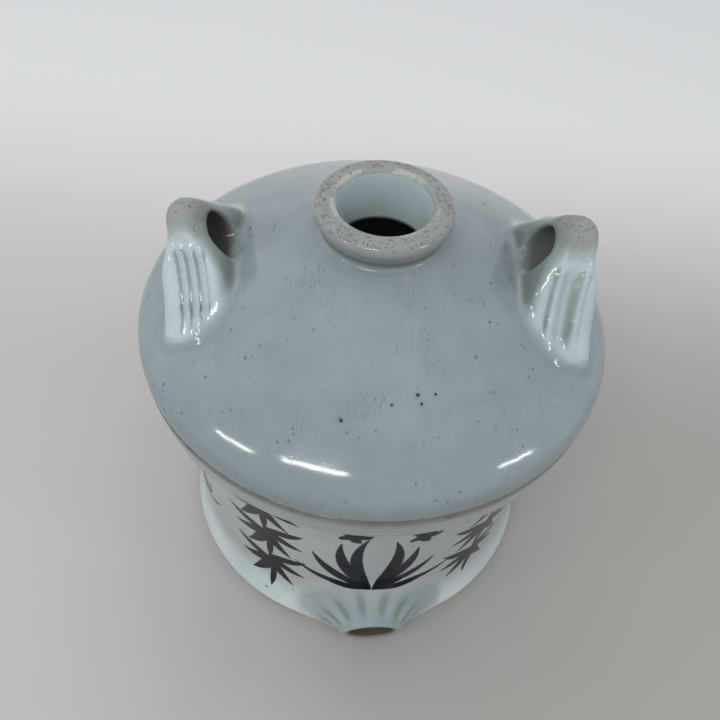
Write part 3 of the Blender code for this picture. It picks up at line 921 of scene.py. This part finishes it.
def make_ear_glaze():
    """Pale glaze of the ears, rubbed matt on the crowns, with painted shade on their inner sides and in
    their tunnels.
    """
    material, f, shader = new_finish("ear_glaze_finish")
    place = f.place()
    base = glaze_tone(f, place, (186, 197, 200), (172, 184, 187))
    base = f.tint(base, f.painted("pooled"), 0.7, (112, 124, 118))
    worn = f.span(f.math("ADD", f.painted("crown"), f.noise(place, 60.0, 3.0, 0.6)), 0.65, 1.35)
    base = f.tint(base, worn, 0.85, (130, 133, 130))
    film = effect(f, "grime", Place=place, Wear=f.line(worn, 0.68, 0.12), Grain=620.0)
    patch = f.span(f.noise(place, 90.0, 3.0, 0.6), 0.40, 0.56)
    base = worn_speckle(f, place, f.times(worn, patch), base)
    base = f.tint(base, film, 0.30, (98, 92, 82))
    specks = effect(f, "specks", Place=place, Scale=260.0, Amount=f.line(worn, 0.35, 0.03))
    base = f.tint(base, specks, 0.9, (50, 44, 38))
    # Painted shade on the inner sides that face the jar's axis and round the tunnel
    base = f.tint(base, f.painted("inner_side_shade"), 0.85, (92, 100, 95))
    # The fillet skirt takes the dome's tone with a little painted shade mixed in
    skirt = f.blend(0.12, shoulder_tone(f, place), colour(106, 116, 113))
    base = f.blend(f.painted("skirt"), base, skirt)
    # Painted shade darkens the inside of the tunnel
    base = f.tint(base, f.painted("tunnel"), 0.92, (58, 59, 52))
    finish_with(f, shader, base, f.line(worn, 0.42, 0.11))
    glaze_bump(f, shader, place, specks, 0.4)
    return material


def make_collar_glaze():
    """Glaze that is rubbed and speckled on the rim, chipped at the mouth, and painted pale inside the bore
    as painted light.
    """
    material, f, shader = new_finish("collar_glaze_finish")
    place = f.place()
    x, y, height = f.parts(place)
    radius = f.math("SQRT", f.math("ADD", f.math("POWER", x, 2.0), f.math("POWER", y, 2.0)))
    base = glaze_tone(f, place, (140, 145, 145), (128, 134, 134))
    top = f.span(height, RIM_LEVEL - 0.0034, RIM_LEVEL - 0.0006)
    side = f.span(radius, MOUTH_RADIUS + 0.0005, MOUTH_RADIUS + 0.003)
    uneven = f.math("ADD", f.times(top, side), f.noise(place, 45.0, 3.0, 0.6))
    uneven = f.span(uneven, 0.7, 1.35)
    film = effect(f, "grime", Place=place, Wear=f.line(uneven, 0.65, 0.22), Grain=640.0)
    base = f.tint(base, uneven, 0.70, (138, 141, 140))
    base = worn_speckle(f, place, uneven, base)
    base = f.tint(base, film, 0.35, (92, 84, 80))
    # Painted light: the bore is made much paler than the outside so that it does not render as dark as its
    # shade
    inside = f.span(radius, MOUTH_RADIUS + 0.0004, MOUTH_RADIUS - 0.0002)
    base = f.blend(inside, base, glaze_tone(f, place, (206, 219, 222), (190, 205, 208)))
    mouth = f.span(f.math("ABSOLUTE", f.math("SUBTRACT", radius, MOUTH_RADIUS + 0.0016)), 0.0032, 0.0012)
    mouth = f.times(mouth, top)
    rubbed = f.span(f.noise(place, 40.0, 3.0, 0.6), 0.46, 0.58)
    base = f.tint(base, f.times(mouth, rubbed), 0.7, (176, 176, 160))
    back = f.span(f.math("ADD", y, x), -0.012, 0.020, 0.10, 0.95)
    chips = effect(f, "specks", Place=place, Scale=215.0, Amount=back)
    base = f.tint(base, mouth, chips, (52, 42, 34))
    specks = effect(f, "specks", Place=place, Scale=300.0, Amount=f.line(uneven, 0.70, 0.08))
    base = f.tint(base, specks, 0.85, (52, 44, 40))
    shade = f.times(f.span(height, NECK_LEVEL + 0.0090, NECK_LEVEL + 0.0050), side)
    base = f.tint(base, shade, 0.5, (84, 88, 84))
    cove = f.times(f.span(height, NECK_LEVEL + 0.0026, NECK_LEVEL + 0.0004), side)
    base = f.blend(cove, base, shoulder_tone(f, place))
    flat = f.span(height, RIM_LEVEL - 0.0009, RIM_LEVEL - 0.0002)
    finish_with(f, shader, base, f.line(f.times(uneven, flat), 0.37, 0.11))
    glaze_bump(f, shader, place, specks, 0.3)
    return material


def wall_tone(f, place, height):
    """Warm grey glaze that turns blue-white where it pooled round the foot, and darker grey-blue on the
    boss, partly its own tone and partly painted shade.
    """
    base = glaze_tone(f, place, (176, 180, 180), (165, 170, 170))
    drip = f.times(f.noise(place, 22.0, 3.0, 0.6), 0.014)
    low = f.span(f.math("ADD", height, drip), 0.060, 0.026)
    base = f.blend(low, base, glaze_tone(f, place, (202, 212, 214), (186, 197, 200)))
    # On the boss the glaze is darker grey-blue, partly its own tone and partly painted shade
    mound = f.times(f.painted("mound"), f.span(height, 0.068, 0.046))
    return f.blend(mound, base, glaze_tone(f, place, (158, 168, 170), (144, 155, 157)))


def make_wall_glaze():
    """Warm wall glaze, blue-white where it pooled at the foot, with cobalt brushwork."""
    material, f, shader = new_finish("wall_glaze_finish")
    place = f.place()
    height = f.parts(place)[2]
    heel = f.span(height, FOOT_LEVEL + 0.0034, FOOT_LEVEL + 0.0022)
    base = f.tint(wall_tone(f, place, height), heel, 0.7, (96, 82, 62))
    base = brushed_ink(f, place, base)
    scratch = effect(f, "scratches", Place=place, Amount=0.35)
    base = f.blend(scratch, base, colour(118, 116, 108))
    low = f.span(height, 0.014, 0.004)
    high = f.span(height, 0.172, 0.184)
    wear = f.line(f.math("MAXIMUM", low, high), 0.5, 0.15)
    film = effect(f, "grime", Place=place, Wear=wear, Grain=360.0)
    base = f.tint(base, film, 0.5, (128, 118, 100))
    specks = effect(f, "specks", Place=place, Scale=140.0, Amount=0.05)
    base = f.tint(base, specks, 0.75, (62, 55, 48))
    finish_with(f, shader, base, f.line(film, 0.30, 0.14), WALL_SHEEN)
    glaze_bump(f, shader, place)
    return material


def brushed_ink(f, place, base):
    """Cobalt strokes under the glaze: dark in the middle and softly bled at the edge."""
    ragged = f.line(f.noise(place, 420.0, 3.0, 0.6), 0.9, -0.45)
    edge = f.math("ADD", f.painted("ink_edge"), ragged)
    base = f.tint(base, f.span(edge, 0.9, -0.4), 0.55, (86, 94, 116))
    load = f.noise(place, 85.0, 3.0, 0.6)
    ink = f.blend(f.span(load, 0.40, 0.72), colour(8, 9, 16), colour(26, 30, 48))
    return f.blend(f.span(edge, 0.25, -0.35), base, ink)


def make_band_glaze():
    material, f, shader = new_finish("band_glaze_finish")
    place = f.place()
    height = f.parts(place)[2]
    base = glaze_tone(f, place, (160, 166, 166), (148, 155, 155))
    # Darker just under the lip: dirt in the groove together with painted shade under the shoulder's edge
    groove = f.span(height, LIP_LEVEL - 0.0056, LIP_LEVEL - 0.0010)
    edge = f.span(height, LIP_LEVEL - 0.0172, LIP_LEVEL - 0.0200)
    wear = f.line(f.math("MAXIMUM", groove, edge), 0.55, 0.38)
    film = effect(f, "grime", Place=place, Wear=wear, Grain=340.0)
    # Dirt and painted shade in the groove under the lip
    base = f.tint(base, groove, 0.70, (84, 80, 72))
    base = f.tint(base, film, 0.75, (92, 80, 64))
    specks = effect(f, "specks", Place=place, Scale=170.0, Amount=0.08)
    base = f.tint(base, specks, 0.8, (60, 54, 47))
    finish_with(f, shader, base, f.line(film, 0.35, 0.16))
    glaze_bump(f, shader, place)
    return material


def make_boss_glaze():
    """The wall's glaze on the boss, grey between the petals, with a bare clay bore."""
    material, f, shader = new_finish("boss_glaze_finish")
    place = f.place()
    base = brushed_ink(f, place, wall_tone(f, place, f.parts(place)[2]))
    base = f.tint(base, f.painted("pooled"), 0.45, (98, 108, 103))
    base = f.tint(base, f.painted("lip"), 0.45, (112, 108, 96))
    film = effect(f, "grime", Place=place, Wear=0.30, Grain=380.0)
    base = f.tint(base, film, 0.5, (126, 118, 102))
    bore = f.painted("bore")
    clay = f.blend(f.noise(place, 130.0, 4.0, 0.7), colour(104, 94, 74), colour(66, 60, 46))
    finish_with(f, shader, f.blend(bore, base, clay), f.line(bore, 0.6, 0.13), WALL_SHEEN)
    glaze_bump(f, shader, place)
    return material


def make_bare_clay():
    material, f, shader = new_finish("bare_clay_finish")
    place = f.place()
    grain = f.noise(place, 240.0, 5.0, 0.7)
    base = f.blend(grain, colour(196, 182, 158), colour(150, 132, 106))
    film = effect(f, "grime", Place=place, Wear=0.6, Grain=300.0)
    base = f.tint(base, film, 0.6, (92, 80, 64))
    finish_with(f, shader, base, f.line(grain, 0.2, 0.70))
    bump_with(f, shader, grain, 0.6, 0.0004)
    return material


# Brushwork
def leaf(start, end, lean, width):
    """Points along one tapered stroke on the unrolled wall, with its half-width."""
    start, end = np.array(start), np.array(end)
    t = np.linspace(0, 1, 13)[:, None]
    side = np.array([end[1] - start[1], start[0] - end[0]])
    line = start + (end - start) * t + side * lean * 4 * t * (1 - t)
    half = width / 2 * np.sin(np.pi * np.clip(t, 0.02, 0.98)) ** 0.7 * (1.25 - 0.6 * t)
    return np.hstack([line, half])


def orchid_spray(middle, foot, height, spread, load):
    """Grass leaves that fan out from one foot, with a flower stalk and petals."""
    strokes = []
    for lean, tall, width in ((-1.25, 0.28, 0.0050), (-0.95, 0.58, 0.0060), (-0.52, 0.86, 0.0066),
                              (-0.15, 1.0, 0.0060), (0.22, 0.93, 0.0066), (0.58, 0.74, 0.0062),
                              (0.92, 0.46, 0.0054), (1.3, 0.22, 0.0048)):
        tip = (middle + spread * lean, foot + height * tall)
        start = (middle + spread * lean * 0.08, foot)
        strokes.append(leaf(start, tip, 0.10 * math.copysign(1, lean), width * load))
    for x, z in ((-0.35, 1.02), (0.62, 0.95)):
        centre = (middle + spread * x, foot + height * z)
        for turn in (20, 80, 140, 215, 290):
            a = math.radians(turn)
            reach = 0.0075 * load
            tip = (centre[0] + reach * math.cos(a), centre[1] + reach * math.sin(a))
            strokes.append(leaf(centre, tip, 0.12, 0.0050 * load))
    return strokes


def bamboo_sprig(middle, foot, height, spread, load):
    """A thin jointed stem with pairs of hanging leaves."""
    strokes = []
    for low, high in ((0.0, 0.30), (0.33, 0.62), (0.65, 0.95)):
        top = (middle + spread * 0.1, foot + height * high)
        strokes.append(leaf((middle, foot + height * low), top, 0.01, 0.0028 * load))
    for level, side in ((0.30, -1), (0.34, 1), (0.62, -1), (0.66, 1), (0.93, -1), (0.97, 1)):
        knot = (middle, foot + height * level)
        for reach, drop in ((0.9, 0.10), (0.6, 0.24), (0.95, -0.08)):
            tip = (middle + side * spread * reach, foot + height * (level - drop))
            strokes.append(leaf(knot, tip, 0.08 * side, 0.0048 * load))
    return strokes


def all_strokes():
    """Brushwork on the wall, in distance round it from its front and height."""
    def from_front(degrees):
        return BRUSH_RADIUS * math.radians(degrees)

    return (
        orchid_spray(from_front(8), 0.066, 0.090, 0.044, 1.45)
        + bamboo_sprig(from_front(-25), 0.026, 0.150, 0.030, 2.0)
        + bamboo_sprig(from_front(42), 0.036, 0.140, 0.028, 2.0)
        + orchid_spray(from_front(-60), 0.070, 0.085, 0.024, 1.0)
        + orchid_spray(from_front(74), 0.070, 0.085, 0.024, 1.0)
    )


def ink_edge(points, strokes):
    """Distance outside the nearest stroke's edge in millimetres, negative inside it."""
    azimuth = np.arctan2(points[:, 1], points[:, 0])
    flat = np.column_stack([(azimuth + math.pi / 2) * BRUSH_RADIUS, points[:, 2]])
    nearest = np.full(len(points), INK_REACH)
    for stroke in strokes:
        low = stroke[:, :2].min(0) - INK_MARGIN
        high = stroke[:, :2].max(0) + INK_MARGIN
        close = np.flatnonzero(((flat > low) & (flat < high)).all(axis=1))
        for a, b in zip(stroke, stroke[1:]):
            run = b[:2] - a[:2]
            t = np.clip(((flat[close] - a[:2]) @ run) / (run @ run), 0, 1)
            gap = np.linalg.norm(flat[close] - a[:2] - t[:, None] * run, axis=1)
            nearest[close] = np.minimum(nearest[close], gap - a[2] - (b[2] - a[2]) * t)
    return nearest * 1000


# The jar
def dress(piece, material, slot, *nodes):
    piece.data.materials.append(material)
    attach(piece, "root")
    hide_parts(*nodes)


def dress_jar(frame):
    shoulder_glaze = make_shoulder_glaze()
    wall_glaze = make_wall_glaze()
    ear_glaze = make_ear_glaze()
    clay = make_bare_clay()
    dress(make_shoulder(), shoulder_glaze, "shoulder_glaze", "shoulder_dome")
    dress(make_collar(), make_collar_glaze(), "shoulder_glaze", "mouth_collar")
    dress(make_band(), make_band_glaze(), "shoulder_glaze", "seam_bead")
    dress(make_ear("ear_left_glazed", LEFT_EAR), ear_glaze, "worn_glaze", "ear_left")
    dress(make_ear("ear_right_glazed", RIGHT_EAR), ear_glaze, "worn_glaze", "ear_right")
    wall = make_wall()
    boss = make_boss()
    strokes = all_strokes()
    for piece in (wall, boss):
        points = place_of(piece)
        paint(piece, "ink_edge", ink_edge(points, strokes))
        paint(piece, "mound", ramp(boss_field(points), BOSS_MOUND_REACH, 0.0))
    dress(wall, wall_glaze, "wall_glaze", "body_wall")
    dress(boss, make_boss_glaze(), "foot_glaze", "spigot_boss")
    for node in ("foot_ring", "jar_floor"):
        for slot in frame["nodes"][node].material_slots:
            slot.material = clay


# Studio
def make_floor():
    mesh = bpy.data.meshes.new("studio_floor")
    corners = [(-FLOOR_HALF, -FLOOR_HALF, 0), (FLOOR_HALF, -FLOOR_HALF, 0),
               (FLOOR_HALF, FLOOR_HALF, 0), (-FLOOR_HALF, FLOOR_HALF, 0)]
    mesh.from_pydata(corners, [], [(0, 1, 2, 3)])
    floor = bpy.data.objects.new("studio_floor", mesh)
    bpy.context.scene.collection.objects.link(floor)
    material, f, shader = new_finish("studio_floor_paint")
    place = f.place()
    x, y, _ = f.parts(place)
    # Painted light: the floor is lighter on the left than on the right, as if lit from the left; it is also
    # paler towards the back
    cloud = f.line(f.noise(place, 3.0, 4.0, 0.6), 0.3, -0.15)
    right = f.span(f.math("ADD", x, cloud), -0.28, 0.22)
    near = f.blend(right, colour(185, 184, 180), colour(160, 158, 153))
    back = f.span(y, 0.05, 0.60)
    finish_with(f, shader, f.blend(back, near, colour(220, 220, 219)), 0.6)
    mesh.materials.append(material)


def soft_lamp(name, direction, distance, size, power, tint, lean=0.0):
    lamp = bpy.data.lights.new(name, "AREA")
    lamp.shape = "RECTANGLE"
    lamp.size, lamp.size_y = size
    lamp.energy = power
    lamp.color = tint
    holder = bpy.data.objects.new(name, lamp)
    away = Vector(direction).normalized()
    holder.location = Vector(LAMP_TARGET) + away * distance
    holder.rotation_mode = "QUATERNION"
    holder.rotation_quaternion = away.to_track_quat("Z", "Y") @ Quaternion((0, 0, 1), math.radians(lean))
    bpy.context.scene.collection.objects.link(holder)


def make_studio():
    world = bpy.data.worlds.new("studio_air")
    world.use_nodes = True
    bpy.context.scene.world = world
    air = world.node_tree.nodes["Background"]
    air.inputs["Color"].default_value = (0.93, 0.96, 1.0, 1.0)
    air.inputs["Strength"].default_value = 0.78
    white = (1.0, 1.0, 1.0)
    soft_lamp("left_strip", (-0.667, -0.433, 0.606), 1.6, (0.42, 0.022), 2.1, white, 28)
    soft_lamp("front_strip", (-0.235, -0.575, 0.784), 1.6, (0.58, 0.075), 5.0, white, 14)
    soft_lamp("right_strip", (0.812, -0.327, 0.483), 1.6, (0.38, 0.020), 1.9, white, -34)
    soft_lamp("left_window", (-0.95, 0.30, 0.65), 1.9, (1.5, 1.2), 1.8, (0.97, 0.99, 1.0))
    soft_lamp("ceiling_light", (0.05, 0.35, 1.0), 1.9, (1.5, 1.2), 4.0, (1.0, 0.99, 0.97))


def make_camera():
    """Camera at the photograph's place: near, high and tipped a little sideways."""
    pitch, yaw, roll = math.radians(51.4), math.radians(-1.1), math.radians(5.1)
    ahead = Vector((math.sin(yaw) * math.cos(pitch), math.cos(yaw) * math.cos(pitch), -math.sin(pitch)))
    right = Vector((math.cos(yaw), -math.sin(yaw), 0))
    above = right.cross(ahead)
    tipped_right = math.cos(roll) * right + math.sin(roll) * above
    tipped_above = math.cos(roll) * above - math.sin(roll) * right
    data = bpy.data.cameras.new("studio_camera")
    data.sensor_width = 36
    data.lens = 36
    data.clip_start = 0.01
    camera = bpy.data.objects.new("studio_camera", data)
    turned = Matrix((tipped_right, tipped_above, -ahead)).transposed()
    camera.matrix_world = Matrix.Translation(CAMERA_PLACE) @ turned.to_4x4()
    bpy.context.scene.collection.objects.link(camera)
    bpy.context.scene.camera = camera


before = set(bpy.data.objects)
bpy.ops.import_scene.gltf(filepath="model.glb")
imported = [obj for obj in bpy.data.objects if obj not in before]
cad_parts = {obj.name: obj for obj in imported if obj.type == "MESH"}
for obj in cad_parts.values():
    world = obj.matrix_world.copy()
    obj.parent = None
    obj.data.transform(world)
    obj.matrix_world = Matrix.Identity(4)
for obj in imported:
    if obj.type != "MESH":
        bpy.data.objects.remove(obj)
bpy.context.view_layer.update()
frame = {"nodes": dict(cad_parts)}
dress_jar(frame)
make_floor()
make_studio()
make_camera()
bpy.context.scene.view_settings.view_transform = "Standard"
